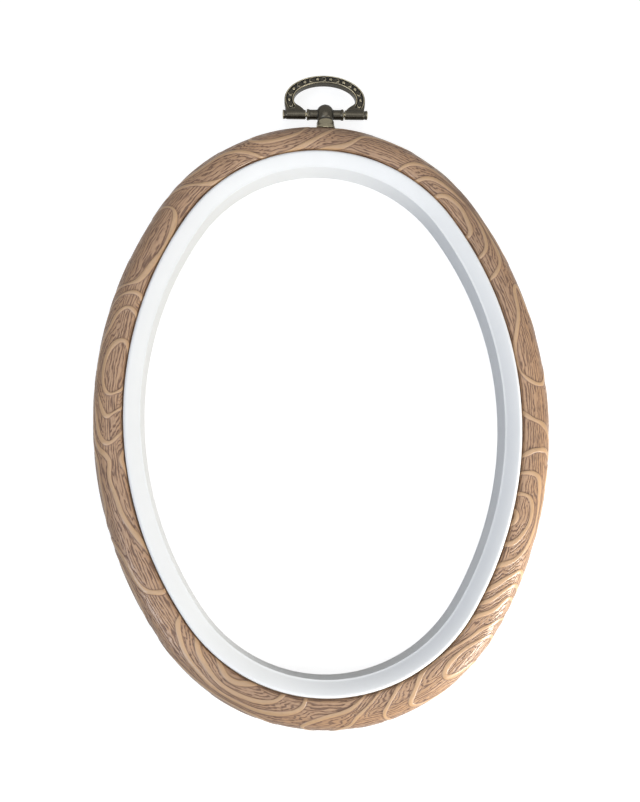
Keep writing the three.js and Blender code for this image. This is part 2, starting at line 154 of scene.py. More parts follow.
class RimSettings(bpy.types.PropertyGroup):
    figure_length: length_property("Swell length", "Length of the swells on the hidden side", 25 * MM)
    band_width: length_property("Band width", "Width of a smooth raised band", 1.25 * MM)
    relief: length_property("Relief", "Height of the bands above the lined fields", 0.14 * MM)
    line_pitch: length_property("Line pitch", "Distance between the fine dark lines", 0.74 * MM)
    band_colour: colour_property("Bands", "Colour of the smooth bands", linear(189, 151, 112))
    field_colour: colour_property("Fields", "Colour between the fine lines", linear(175, 136, 101))
    line_colour: colour_property("Lines", "Colour of the fine lines", linear(78, 49, 35))


class InnerSettings(bpy.types.PropertyGroup):
    wall: length_property("Wall", "Thickness of the moulded walls", 1.3 * MM)
    crown: length_property("Crown", "How far the front face swells", 0.35 * MM)
    plastic_colour: colour_property("Plastic", "Colour of the plastic", linear(246, 246, 245))


class HangerSettings(bpy.types.PropertyGroup):
    channel_depth: length_property("Channel depth", "Depth of the channel in the bow's front", 0.4 * MM)
    channel_rim: length_property("Channel rim", "Width of the rims beside the channel", 0.45 * MM)
    bead_radius: length_property("Bead radius", "Radius of a bead in the channel", 0.66 * MM)
    bead_count: IntProperty(name="Beads", description="Number of beads along the bow", default=8, min=1)
    brass_colour: colour_property("Aged brass", "Colour of the aged brass", linear(78, 74, 65))
    patina_colour: colour_property("Patina", "Colour in the brass's recesses", linear(26, 25, 23))
    # This colour paints both the worn edges and the painted highlight on the post's foot.
    worn_and_highlight_colour: colour_property("Worn brass", "Colour on the brass's worn edges", linear(204, 193, 162))
    steel_colour: colour_property("Steel", "Colour of the fixing screw and washer", linear(176, 177, 176))


class StageSettings(bpy.types.PropertyGroup):
    floor_colour: colour_property("Floor", "Colour of the floor", (0.35, 0.35, 0.35))
    ambient: FloatProperty(name="Ambient", description="Level of the light all round", default=0.1, min=0)
    key_power: power_property("Key light", "Power of the key light", 1.2)
    fill_power: power_property("Fill light", "Power of the fill light", 2.5)
    top_power: power_property("Top light", "Power of the light overhead", 2.3)
    glow_power: power_property("Side light", "Power of the light close to the rim", 0.25)


# Outlines and solids, made with Blender's own operators.
def enter(mode):
    bpy.ops.object.mode_set(mode=mode)


def clear_selection():
    if bpy.context.mode != "OBJECT":
        enter("OBJECT")
    bpy.ops.object.select_all(action="DESELECT")


def take(piece):
    """Makes the piece the only one selected, and the active one."""
    clear_selection()
    piece.select_set(True)
    bpy.context.view_layer.objects.active = piece


def edit_all(piece):
    take(piece)
    enter("EDIT")
    bpy.ops.mesh.select_all(action="SELECT")


def modify(piece, kind, **settings):
    """Adds a modifier to the piece with its settings, and applies it."""
    take(piece)
    bpy.ops.object.modifier_add(type=kind)
    change = piece.modifiers[-1]
    for key, value in settings.items():
        setattr(change, key, value)
    bpy.ops.object.modifier_apply(modifier=change.name)


def outline(name, points, closed=True):
    """A line drawn by extruding one point to each next one."""
    clear_selection()
    bpy.ops.mesh.primitive_plane_add(size=MM)
    piece = bpy.context.object
    piece.name = name
    enter("EDIT")
    bpy.ops.mesh.merge(type="CENTER")
    bpy.ops.transform.translate(value=points[0])
    for start, end in zip(points, points[1:]):
        step = tuple(b - a for a, b in zip(start, end))
        bpy.ops.mesh.extrude_vertices_move(TRANSFORM_OT_translate={"value": step})
    if closed:
        bpy.ops.mesh.select_all(action="DESELECT")
        enter("OBJECT")
        piece.data.vertices[0].select = True
        piece.data.vertices[len(points) - 1].select = True
        enter("EDIT")
        bpy.ops.mesh.edge_face_add()
    enter("OBJECT")
    return piece


def close_surface(piece):
    """Merges doubles and points all faces outwards."""
    edit_all(piece)
    bpy.ops.mesh.remove_doubles(threshold=MERGE)
    bpy.ops.mesh.normals_make_consistent(inside=False)
    enter("OBJECT")


def turned(name, profile, axis, centre=PIN_CENTRE, steps=48):
    """A profile of radius and distance along the axis, spun round it."""
    axes = {"X": ((0, 1, 0), (1, 0, 0)), "Y": ((1, 0, 0), (0, 1, 0))}
    out, along = (Vector(v) for v in axes[axis])
    piece = outline(name, [tuple(Vector(centre) + out * r + along * s) for r, s in profile], closed=False)
    edit_all(piece)
    bpy.ops.mesh.spin(steps=steps, angle=math.tau, center=centre, axis=along)
    close_surface(piece)
    return piece


def swept_round(name, section, spacing):
    """A closed section of distance outwards and height, spun round a quarter of the oval and mirrored."""
    piece = outline(name, [(OVAL_HALF_WIDTH + x, 0, z) for x, z in section])
    edit_all(piece)
    quarter = (((-SIDE_CENTRE, 0, 0), SIDE_RADIUS, SIDE_SWEEP), ((0, END_CENTRE, 0), END_RADIUS, END_SWEEP))
    for centre, radius, sweep in quarter:
        steps = round((radius + ROUND_CENTRE) * sweep / spacing)
        bpy.ops.mesh.spin(steps=steps, angle=sweep, center=centre, axis=SPIN_UP)
    modify(piece, "MIRROR", use_axis=(True, True, False), merge_threshold=10 * MERGE)
    edit_all(piece)
    bpy.ops.transform.translate(value=(0, OVAL_Y, 0))
    close_surface(piece)
    return piece


def combine(piece, tool, operation="DIFFERENCE"):
    """Cuts the tool away from the piece, or joins it on, and deletes the tool."""
    modify(piece, "BOOLEAN", operation=operation, solver="EXACT", object=tool)
    bpy.data.objects.remove(tool)


def join(piece, others):
    """Makes the others part of the piece's mesh."""
    take(piece)
    for other in others:
        other.select_set(True)
    bpy.ops.object.join()


def cast(piece, rounds):
    """Melts the joined solids into one casting: a voxel remesh, then smoothing. Marks its wear."""
    modify(piece, "REMESH", mode="VOXEL", voxel_size=0.1 * MM)
    modify(piece, "SMOOTH", iterations=rounds)
    mark_wear(piece)
    smooth_shade(piece, 180)


def bar(radius, start, end, axis, centre=PIN_CENTRE):
    return turned("bar", [(0, start), (radius, start), (radius, end), (0, end)], axis, centre)


def angles_between(start, end, steps):
    return [math.radians(start + (end - start) * i / steps) for i in range(steps + 1)]


def ellipse(x, y, wide, high, start, end, steps):
    return [(x + wide * math.cos(a), y + high * math.sin(a)) for a in angles_between(start, end, steps)]


def arc(x, y, radius, start, end, steps):
    return ellipse(x, y, radius, radius, start, end, steps)


def curve(corners, steps):
    """Points on a straight line between two corners, or a Bezier curve on more, without its first."""
    degree = len(corners) - 1
    points = []
    for i in range(1, steps + 1):
        t = i / steps
        shares = [math.comb(degree, k) * (1 - t) ** (degree - k) * t**k for k in range(degree + 1)]
        points.append(tuple(sum(s * p[j] for s, p in zip(shares, corners)) for j in (0, 1)))
    return points


def trace(*legs):
    """A line through points. A leg of corners and a number of steps leads on from the point before it."""
    points = []
    for leg in legs:
        curved = isinstance(leg[0], tuple)
        points += curve((points[-1], *leg[:-1]), leg[-1]) if curved else [leg]
    return points


def hand_over(piece, material, node, body):
    """Gives a finished piece its material and body, and hides the imported part that it stands in for."""
    piece.data.materials.clear()
    piece.data.materials.append(material)
    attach(piece, body)
    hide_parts(node)


def smooth_shade(piece, degrees=35):
    take(piece)
    bpy.ops.object.shade_smooth_by_angle(angle=math.radians(degrees))


def point_values(piece):
    """The places and normals of a piece's points, as arrays."""
    found = []
    for rows, field in ((piece.data.vertices, "co"), (piece.data.vertex_normals, "vector")):
        values = np.zeros(len(rows) * 3, np.float32)
        rows.foreach_get(field, values)
        found.append(values.reshape(-1, 3).astype(float))
    return found


def store(piece, name, values):
    """Keeps one number, or one vector, for each point of a piece."""
    kind, field = ("FLOAT", "value") if values.ndim == 1 else ("FLOAT_VECTOR", "vector")
    attribute = piece.data.attributes.new(name, kind, "POINT")
    attribute.data.foreach_set(field, values.astype(np.float32).ravel())


def mark_wear(piece, rounds=6):
    """Stores how far each point stands out from its surroundings, in millimetres."""
    places, normals = point_values(piece)
    ends = np.zeros(len(piece.data.edges) * 2, np.int32)
    piece.data.edges.foreach_get("vertices", ends)
    first, second = ends.reshape(-1, 2).T
    count = np.bincount(ends, minlength=len(places))

    def average(values):
        forth = np.bincount(first, values[second], len(places))
        back = np.bincount(second, values[first], len(places))
        return (forth + back) / np.maximum(count, 1)

    calm = places.copy()
    for _ in range(rounds):
        calm = np.stack([average(calm[:, i]) for i in range(3)], axis=1)
    out = ((places - calm) * normals).sum(axis=1) / MM
    store(piece, "stands_out", average(average(out)))


# Shader maths, written as Python expressions.
class Wire:
    """A node's output. Operators on it add Math nodes."""

    def __init__(self, recipe, socket):
        self.recipe = recipe
        self.socket = socket

    def maths(self, operation, *others):
        values = dict(enumerate((self, *others)))
        return self.recipe.node("Math", {"operation": operation}, values)

    def __add__(self, other):
        return self.maths("ADD", other)

    def __mul__(self, other):
        return self.maths("MULTIPLY", other)

    def __sub__(self, other):
        return self.maths("SUBTRACT", other)

    def __rsub__(self, other):
        return self.maths("MULTIPLY_ADD", -1, other)

    __radd__ = __add__
    __rmul__ = __mul__

    def step(self, low, high, start=0, end=1):
        """Goes smoothly from start to end as the value goes from low to high."""
        values = {"Value": self, "From Min": low, "From Max": high, "To Min": start, "To Max": end}
        return self.recipe.node("MapRange", {"interpolation_type": "SMOOTHSTEP"}, values)


class Recipe:
    """The nodes of a material or a world in the making."""

    def __init__(self, owner):
        self.owner = owner
        owner.use_nodes = True
        self.nodes, self.links = owner.node_tree.nodes, owner.node_tree.links
        self.nodes.clear()

    def node(self, kind, settings=None, values=None, output=0):
        made = self.nodes.new("ShaderNode" + kind)
        for key, value in (settings or {}).items():
            setattr(made, key, value)
        for key, value in (values or {}).items():
            if isinstance(value, Wire):
                self.links.new(value.socket, made.inputs[key])
            else:
                made.inputs[key].default_value = value
        return Wire(self, made.outputs[output]) if made.outputs else None

    def attribute(self, name, output="Fac"):
        return self.node("Attribute", {"attribute_name": name}, output=output)

    def place(self):
        """The point's place on the piece, in millimetres."""
        where = self.node("TexCoord", output="Object")
        return self.node("VectorMath", {"operation": "SCALE"}, {0: where, "Scale": 1 / MM})

    def part(self, place, axis):
        """One of the three numbers of a place."""
        return self.node("SeparateXYZ", {}, {0: place}, output=axis)

    def noise(self, place, size, detail=2, stretch=None):
        """Cloudy noise from -1 to 1, with cells of a size in the place's own unit."""
        if stretch:
            place = self.node("VectorMath", {"operation": "MULTIPLY"}, {0: place, 1: stretch})
        values = {"Vector": place, "Scale": 1 / size, "Detail": detail}
        return self.node("TexNoise", {}, values) * 2 - 1

    def mix(self, share, first, second):
        return self.node("Mix", {"data_type": "RGBA"}, {0: share, 6: first, 7: second}, output=2)

    def shades(self, share, colour, low, high):
        """A colour that goes from one brightness to another."""
        return self.mix(share, opaque(c * low for c in colour), opaque(c * high for c in colour))

    def finish(self, colour, roughness, height, **others):
        """The finished material. Its height is in millimetres."""
        bump = self.node("Bump", {}, {"Height": height, "Distance": MM})
        named = {name.replace("_", " "): value for name, value in others.items()}
        named |= {"Base Color": colour, "Roughness": roughness, "Normal": bump}
        return self.surface(self.node("BsdfPrincipled", {}, named))

    def surface(self, shader):
        self.node("OutputMaterial", {}, {"Surface": shader})
        return self.owner


def opaque(colour):
    return (*colour, 1)


# Materials.
def wood_vinyl(rim):
    """Moulded vinyl with smooth tan bands, and fields of fine dark grooves between them."""
    r = Recipe(bpy.data.materials.new("wood_vinyl"))
    place = r.attribute("grain_place", "Vector")
    edge = r.attribute("band_edge") + r.noise(place, 5.0, 1).step(-0.2, 0.5, -0.02, 0.3)
    flow = r.attribute("flow_place", "Vector")
    warp = r.noise(place, 2.2, 1) + r.noise(place, 0.8, 1) * 0.7 + r.noise(place, 0.36, 1) * 0.28
    width = r.noise(place, 1.2, 1) * 0.15 + 0.2
    lines = {}
    for system in ("along_turns", "figure_turns"):
        wave = (r.attribute(system) + warp).maths("PINGPONG", 0.5)
        lines[system] = 1 - (wave - width).step(-0.15, 0.13)
    follows = (r.attribute("follows_figure") + r.noise(place, 1.5, 1) * 0.3).step(0.6, 0.75)
    line = lines["along_turns"] * (1 - follows) + lines["figure_turns"] * follows
    broken = r.noise(place, 0.7, 1).step(-0.4, -0.1, 0.2, 1)
    field = edge.step(-0.05, 0.25)
    rim_line = edge.step(-0.05, 0.16) * (1 - edge.step(0.2, 0.5))
    rim_line = rim_line * r.noise(place, 1.6, 0).step(-0.4, 0.3, 0.2)
    groove = (line * broken * field).maths("MAXIMUM", rim_line * 0.6)

    tint = r.noise(place, 7.0, 2).step(-0.6, 0.6)
    sheen = (tint + r.noise(flow, 0.4, 2) * 0.5).step(0, 1)
    bands = r.shades(sheen, rim.band_colour, 0.84, 1.1)
    colour = r.mix(field, bands, r.shades(tint, rim.field_colour, 0.82, 1.12))
    streak = r.noise(flow, 0.4, 2).step(-0.1, 0.7) * 0.3
    # Fields darker next to the bands: stain wiped into that recess, and painted shade there.
    stain_and_shade_near_band = field * (1 - edge.step(0.1, 0.9)) * 0.3
    for share in (streak * (field * 0.7 + 0.3), stain_and_shade_near_band, groove * 0.82):
        colour = r.mix(share, colour, opaque(rim.line_colour))

    grit = r.noise(r.place(), 0.16, 2)
    height = groove * -0.07 + field * -0.03 + grit * 0.002 + streak * -0.01
    roughness = groove * 0.3 + grit * 0.05 + 0.32
    return r.finish(colour, roughness, height, Specular_IOR_Level=0.75)


def white_plastic(inner):
    """Moulded plastic with a faint flow mottle and a very fine grain."""
    r = Recipe(bpy.data.materials.new("white_plastic"))
    place = r.place()
    mottle = r.noise(place, 9.0, 3)
    grain = r.noise(place, 0.22, 2)
    colour = r.shades(mottle.step(-0.7, 0.7), inner.plastic_colour, 1, 0.975)
    roughness = mottle * 0.05 + grain * 0.04 + 0.5
    return r.finish(colour, roughness, mottle * 0.012 + grain * 0.002, Specular_IOR_Level=0.3)


def aged_brass(hanger):
    """Cast brass, blackened in its recesses and rubbed bright on its edges, with a painted highlight on the
    post's foot.
    """
    r = Recipe(bpy.data.materials.new("cast_brass"))
    place = r.place()
    out = r.attribute("stands_out")
    clouds = r.noise(place, 1.4, 4)
    specks = r.noise(place, 0.32, 3)
    worn = (out + specks * 0.01 + clouds * 0.014).step(0.018, 0.048)
    sunk = (out + clouds * 0.022).step(-0.028, 0.006, 1, 0)
    # Painted highlight: the post's foot, below the top of its base, is lightened towards the worn brass
    # colour.
    foot_top = (RIM_OUTER_Y + BASE_HEIGHT) / MM
    foot = (r.part(place, 1) + clouds * 0.3).step(foot_top - 0.4, foot_top + 0.1, 0.3, 0)
    brass = r.shades(clouds.step(-0.6, 0.6), hanger.brass_colour, 1, 0.7)
    colour = r.mix(sunk, brass, opaque(hanger.patina_colour))
    # Rubbed edges, then the painted highlight on the foot.
    for share in (worn * 0.75, foot):
        colour = r.mix(share, colour, opaque(hanger.worn_and_highlight_colour))
    roughness = sunk * 0.25 + specks * 0.08 + worn * -0.06 + 0.25
    return r.finish(colour, roughness, specks * 0.02 + clouds * 0.04, Metallic=0.95 - sunk * 0.35)


def fixing_steel(hanger):
    """Plain turned steel with fine rings and a few dull spots."""
    r = Recipe(bpy.data.materials.new("fixing_steel"))
    place = r.place()
    dull = r.noise(place, 0.7, 3)
    rings = r.noise(place, 0.12, 1, (1, 0.1, 1))
    colour = r.shades(dull.step(-0.2, 0.7), hanger.steel_colour, 1, 0.6)
    roughness = dull * 0.12 + rings * 0.06 + 0.33
    return r.finish(colour, roughness, rings * 0.004, Metallic=1)


# The outer ring.
def d_section():
    """The outer ring's section, from the middle of its flat inner side, down and round."""
    inside, corner = CLOTH_GAP, OUTER_CORNER
    corner_top = OUTER_TOP - OUTER_FRONT_FALL
    return trace(
        (inside, RING_MIDDLE),
        ((inside, OUTER_BOTTOM + corner), 4),
        *arc(inside + corner, OUTER_BOTTOM + corner, corner, 180, 270, 4)[1:],
        ((ROUND_CENTRE, OUTER_BOTTOM), 5),
        *arc(ROUND_CENTRE, RING_MIDDLE, ROUND_RADIUS, -90, 90, 32)[1:],
        ((ROUND_CENTRE / 2, OUTER_TOP), (inside + corner, corner_top), 9),
        *arc(inside + corner, corner_top - corner, corner, 90, 180, 4)[1:],
        ((inside, RING_MIDDLE), 4),
    )[:-1]


def oval_coordinates(places):
    """How far round the oval each point lies, in metres, and at what angle round the ring's section."""
    x, y = np.abs(places[:, 0]), np.abs(places[:, 1] - OVAL_Y)
    side_turn = np.arctan2(y, x + SIDE_CENTRE)
    end_turn = np.arctan2(y - END_CENTRE, x)
    beside = side_turn < SIDE_SWEEP
    side_radius, end_radius = SIDE_RADIUS + ROUND_CENTRE, END_RADIUS + ROUND_CENTRE
    side_length = side_radius * SIDE_SWEEP
    quarter = side_length + end_radius * END_SWEEP
    along = np.where(beside, side_radius * side_turn, side_length + end_radius * (end_turn - SIDE_SWEEP))
    left, low = places[:, 0] < 0, places[:, 1] < OVAL_Y
    along = np.where(left, 2 * quarter - along, along)
    along = np.where(low, 4 * quarter - along, along)
    from_side, from_end = np.hypot(x + SIDE_CENTRE, y), np.hypot(x, y - END_CENTRE)
    outwards = np.where(beside, from_side - SIDE_RADIUS, from_end - END_RADIUS)
    turn = np.arctan2(places[:, 2] - RING_MIDDLE, outwards - ROUND_CENTRE)
    return along, turn, 4 * quarter


GRAIN_STRETCH, GRAIN_TUBE = 5, 4.9
SECTION_LENGTH = 31 * MM


def ring_places(along, length, outwards, height):
    """Points round a ring, so that what is read there meets itself after one round."""
    reach = length / MM / (math.tau * GRAIN_STRETCH) + outwards
    around = math.tau * along / length
    return np.stack([reach * np.cos(around), reach * np.sin(around), height], axis=-1)


def grain_places(along, turn, length):
    """Where the grain is read: points on a ring-shaped tube, so that it closes on itself both ways."""
    return ring_places(along, length, GRAIN_TUBE * np.cos(turn), GRAIN_TUBE * np.sin(turn))


# The moulded wood figure: for each level, by turns a place's distance round the rim from its right side, in
# millimetres, and its angle round the section, in degrees. The bands lie at the whole levels.
FIGURE = {
    0.6: (70.7, 142, 238.2, 116),
    1: (61.3, 153, 65.7, 112, 73.9, 103, 77.5, 121, 233.2, 80, 237.5, 69, 245, 78, 244.3, 146, 339.5, 135,
        343.4, 119, 350.2, 135, 353.1, 155, 469, 142, 469.7, 156),
    2: (54.4, 107, 57.1, 88, 61.4, 75, 68.6, 73, 80.7, 88, 87.5, 132, 88.8, 156, 220.1, 142, 219.8, 95,
        222.2, 73, 226.8, 59, 251.7, 132, 251.8, 75, 247.5, 59, 333.1, 116, 337.7, 103, 352.7, 93,
        362.1, 155, 457.6, 156, 458.3, 133, 463.2, 98, 467.2, 84, 471.1, 86, 474.2, 156),
    3: (48.2, 82, 52.1, 68, 60, 61, 69.3, 59, 78.6, 63, 91.8, 91, 96.1, 153, 216.4, 156, 213.2, 118,
        213.8, 91, 257.9, 156, 261.3, 110, 262.7, 91, 261.2, 73, 258.2, 59, 318.8, 156, 324.1, 109,
        339.8, 67, 349.1, 65, 358.4, 73, 367.3, 107, 448.6, 158, 456.5, 84, 470.7, 59, 477.9, 68,
        481.1, 156),
    3.4: (40.7, 125),
    3.5: (177.7, 142, 178.8, 75, 273.9, 120, 281.8, 133, 289.7, 151, 265, 116, 314.5, 107, 313.4, 67,
        315.6, 151, 485, 65, 485.7, 107, 505, 107),
    3.6: (379.8, 142),
    4: (6.6, 91, 14.3, 141, 35, 82, 39.3, 65, 112.3, 80, 121.6, 138, 125.9, 149, 167.3, 133, 173.8, 80,
        176.6, 59, 183.8, 66, 182.3, 82, 185.5, 121, 195.2, 141, 204.7, 126, 207.5, 116, 210, 105,
        211.4, 85, 266.9, 128, 269.3, 139, 272.5, 151, 265, 84, 270.4, 89, 276.1, 94, 298.2, 151,
        297.5, 59, 309, 103, 310.7, 128, 310.1, 148, 387, 133, 383.4, 112, 371.3, 70, 444.3, 128,
        486.3, 156, 489.9, 96, 501, 132, 498.2, 80),
    4.4: (494.3, 133, 494.2, 89),
    4.5: (195.9, 107, 203.9, 84, 270.4, 65, 280.4, 72, 289.7, 86, 297.5, 107, 272.5, 158, 304.8, 116,
        17.9, 89),
    5: (133, 135, 138, 146, 144.6, 149, 150.5, 111, 156.3, 72, 397, 156, 392, 135, 387.7, 109, 384.8, 86,
        383.1, 61, 435.7, 155, 447.2, 66),
    6: (131.8, 73, 134.8, 86, 139.5, 93, 147.3, 72, 398.8, 133, 395, 102, 392.6, 66, 432.2, 144,
        435.7, 116, 442.9, 65),
    7: (400.6, 61, 403.6, 105, 409, 141, 422.2, 128, 427.2, 111, 432.2, 88, 435, 65),
    8: (413.7, 96, 416.8, 109, 420.7, 112, 425, 102, 428.6, 82, 430.7, 61),
    8.45: (420.7, 73, 425, 63),
}
FIGURE_REACH = 11 * MM
FIGURE_STRETCH = 1.5
REST_LEVEL = 3.5
LEVEL_RISE = 3.3 * MM
STEEP = 180  # levels per metre
FLAT_SIDE_ANGLE = 0.6


def wander(along, length, cell, seed):
    """A smooth random course along the rim, which meets itself after one round."""
    radius = length / (math.tau * cell)
    angles = np.linspace(0, math.tau, 721)
    course = [noise.noise(Vector((radius * math.cos(a), radius * math.sin(a), seed))) for a in angles]
    return np.interp(along, angles / math.tau * length, course)


class Figure:
    """The wood figure as a smooth height field round the rim. Its bands lie at the whole numbers."""

    def __init__(self, length, figure_length):
        self.length, self.figure_length = length, figure_length
        keys = []
        for level, row in FIGURE.items():
            keys += [(a * MM, math.radians(t), level) for a, t in zip(row[::2], row[1::2])]
        self.along, self.turn, levels = np.array(keys).T
        likeness = self.likeness(self.along[:, None], self.turn[:, None], self.along, self.turn)
        residues = levels - self.ground(self.along, self.turn)
        self.weights = np.linalg.solve(likeness + 0.001 * np.eye(len(keys)), residues)

    def likeness(self, along, turn, key_along, key_turn):
        """How far a key's level holds at a place: 1 at the key, fading with distance."""
        aside = np.abs(along - key_along) % self.length
        aside = np.minimum(aside, self.length - aside) / FIGURE_STRETCH
        round_ = np.abs(turn - key_turn) % math.tau
        round_ = np.minimum(round_, math.tau - round_) / math.tau * SECTION_LENGTH
        reach = np.hypot(aside, round_) * math.sqrt(5) / FIGURE_REACH
        return (1 + reach + reach * reach / 3) * np.exp(-reach)

    def ground(self, along, turn):
        """The level away from the keys, which swells and sinks on the hidden side."""
        hidden = ((1 - np.cos(turn - 2)) / 2) ** 2
        places = grain_places(along, turn, self.length).reshape(-1, 3)
        ripple = np.array([noise.noise(Vector(place) / 4.5) for place in places]).reshape(along.shape)
        return REST_LEVEL + hidden * (7 * wander(along, self.length, self.figure_length, 9.5) + 2 * ripple)

    def heights(self, along, turn):
        total = self.ground(along, turn)
        for weight, key_along, key_turn in zip(self.weights, self.along, self.turn):
            total += weight * self.likeness(along, turn, key_along, key_turn)
        return total

    def band_lines(self, step=0.35 * MM):
        """Points along the bands' middles, as distance round the oval and distance round the section."""
        along = np.linspace(0, self.length, round(self.length / step), endpoint=False)
        across = np.linspace(0, SECTION_LENGTH, round(SECTION_LENGTH / step), endpoint=False)
        grid_along, grid_across = np.meshgrid(along, across, indexing="ij")
        heights = self.heights(grid_along, grid_across / SECTION_LENGTH * math.tau)
        found = []
        for axis, start, stride in ((0, grid_along, along[1]), (1, grid_across, across[1])):
            after = np.roll(heights, -1, axis=axis)
            crossed = np.floor(heights) != np.floor(after)
            level = np.maximum(np.floor(heights), np.floor(after))
            share = (level - heights)[crossed] / (after - heights)[crossed]
            moved = start[crossed] + stride * share
            pair = (grid_along[crossed], moved) if axis else (moved, grid_across[crossed])
            found += list(zip(*pair))
        return found

    def distance_to_bands(self, along, across):
        """The distance from each point to the middle of the nearest band."""
        length, wrap, margin = self.length, SECTION_LENGTH, 12 * MM
        copies = [
            (a + i * length, b + j * wrap, 0)
            for a, b in self.band_lines()
            for i in (-1, 0, 1)
            for j in (-1, 0, 1)
            if -margin < a + i * length < length + margin and -margin < b + j * wrap < wrap + margin
        ]
        tree = kdtree.KDTree(len(copies))
        for i, place in enumerate(copies):
            tree.insert(place, i)
        tree.balance()
        return np.array([tree.find((a, b, 0))[2] for a, b in zip(along, across)])

    def slopes(self, along, turn, heights):
        """How fast the height changes round the oval and round the section, in levels per metre."""
        step = 0.3 * MM
        ahead = self.heights(along + step, turn) - heights
        beside = self.heights(along, turn + step / SECTION_LENGTH * math.tau) - heights
        return ahead / step, beside / step


def mark_grain(piece, rim):
    """Stores the wood figure on the ring's points."""
    places, _ = point_values(piece)
    along, turn, length = oval_coordinates(places)
    figure = Figure(length, rim.figure_length)
    heights = figure.heights(along, turn)
    across = turn % math.tau / math.tau * SECTION_LENGTH
    distance = figure.distance_to_bands(along, across)
    grain = grain_places(along, turn, length)
    vary = np.array([noise.noise(Vector(p) / 3 + Vector((3, 9, 1))) for p in grain])
    ahead, beside = figure.slopes(along, turn, heights)
    steepness = np.hypot(ahead, beside)
    width = np.minimum(rim.band_width, 0.42 / np.maximum(steepness, 1)) * (1 + 0.35 * vary)
    flat_side = np.abs(turn) > math.pi - FLAT_SIDE_ANGLE
    edge = np.where(flat_side, -1, (distance - width / 2) / MM)
    arc_place = turn / math.tau * SECTION_LENGTH
    flow = ring_places(along, length, 0.5 * arc_place / MM, 3 * heights)
    follows = np.abs(beside) / np.maximum(steepness, 1) * np.clip(steepness / STEEP, 0, 1)
    store(piece, "band_edge", edge)
    store(piece, "grain_place", grain)
    store(piece, "flow_place", flow)
    store(piece, "along_turns", arc_place / rim.line_pitch)
    store(piece, "figure_turns", LEVEL_RISE * heights / rim.line_pitch)
    store(piece, "follows_figure", follows)
    weigh_fields(piece, edge)


def weigh_fields(piece, edge):
    """Gives each point its share of the sinking, from its distance to a band's edge."""
    share = np.clip((edge + 0.12) / 0.3, 0, 1)
    weights = share * share * (3 - 2 * share)
    group = piece.vertex_groups.new(name="fields")
    for i, weight in enumerate(weights):
        group.add([i], float(weight), "REPLACE")


class HOOP_OT_outer_ring(bpy.types.Operator):
    """Add the soft outer ring with its moulded wood grain"""

    bl_idname = "hoop.outer_ring"
    bl_label = "Outer Ring"

    def execute(self, context):
        rim = context.scene.hoop_rim
        ring = swept_round("outer_ring_grained", d_section(), 0.37 * MM)
        centre = (PIN_X, 0, RING_MIDDLE)
        start = outer_high.y - OUTER_WIDTH - 2 * MM
        seat_end = washer_high.y + FIXING_CLEARANCE
        for radius, end in ((SHANK_RADIUS, outer_high.y + MM), (WASHER_RADIUS, seat_end)):
            combine(ring, bar(radius + FIXING_CLEARANCE, start, end, "Y", centre))
        mark_grain(ring, rim)
        modify(ring, "DISPLACE", strength=-rim.relief, mid_level=0, vertex_group="fields")
        ring.vertex_groups.clear()
        smooth_shade(ring, 50)
        hand_over(ring, wood_vinyl(rim), "outer_ring", "rim")
        return {"FINISHED"}


# The inner ring.
def channel_section(inner):
    """The inner ring's section: opening wall, falling face, outer wall, and back lip."""
    wall, edge = inner.wall, INNER_EDGE
    opening, face_start = -INNER_FACE, -INNER_FACE + edge
    opening_top = INNER_WALL_TOP - INNER_FALL
    face_top = INNER_WALL_TOP - inner.crown / 2
    middle = (-INNER_FACE / 2, (INNER_WALL_TOP + opening_top) / 2 + inner.crown)
    lip = LIP_REACH - LIP_EDGE
    inside, inside_top, outside_top = opening + wall, opening_top - wall, INNER_WALL_TOP - 2 * wall
    ease, fillet = 0.15 * MM, 0.2 * MM
    return trace(
        (face_start, 0), (inside, 0), (inside, inside_top - edge),
        ((inside, inside_top), (inside + edge, inside_top + ease), 3),
        (-wall - edge, outside_top - ease),
        ((-wall, outside_top), (-wall, outside_top - edge), 3),
        (-wall, 0), (lip, 0),
        ((LIP_REACH, 0), (LIP_REACH, LIP_EDGE), 4),
        (LIP_REACH, LIP_THICKNESS - LIP_EDGE),
        ((LIP_REACH, LIP_THICKNESS), (lip, LIP_THICKNESS), 4),
        (fillet, LIP_THICKNESS),
        ((0, LIP_THICKNESS), (0, LIP_THICKNESS + fillet), 2),
        (0, INNER_WALL_TOP - INNER_SHOULDER),
        ((0, INNER_WALL_TOP), (-INNER_SHOULDER, face_top), 6),
        (middle, (face_start, opening_top), 10),
        ((opening, opening_top), (opening, opening_top - edge), 4),
        (opening, edge),
        ((opening, 0), (face_start, 0), 4),
    )[:-1]


class HOOP_OT_inner_ring(bpy.types.Operator):
    """Add the rigid white inner ring"""

    bl_idname = "hoop.inner_ring"
    bl_label = "Inner Ring"

    def execute(self, context):
        inner = context.scene.hoop_inner
        ring = swept_round("inner_ring_moulded", channel_section(inner), 0.8 * MM)
        smooth_shade(ring)
        hand_over(ring, white_plastic(inner), "inner_ring", "inside")
        return {"FINISHED"}


# The hanger. Profiles are distances from the pin's axis.
def from_pin(y):
    return y - PIN_Y


def pin_bore():
    return bar(PIN_RADIUS + PIN_CLEARANCE, -KNUCKLE_END - MM, KNUCKLE_END + MM, "X")


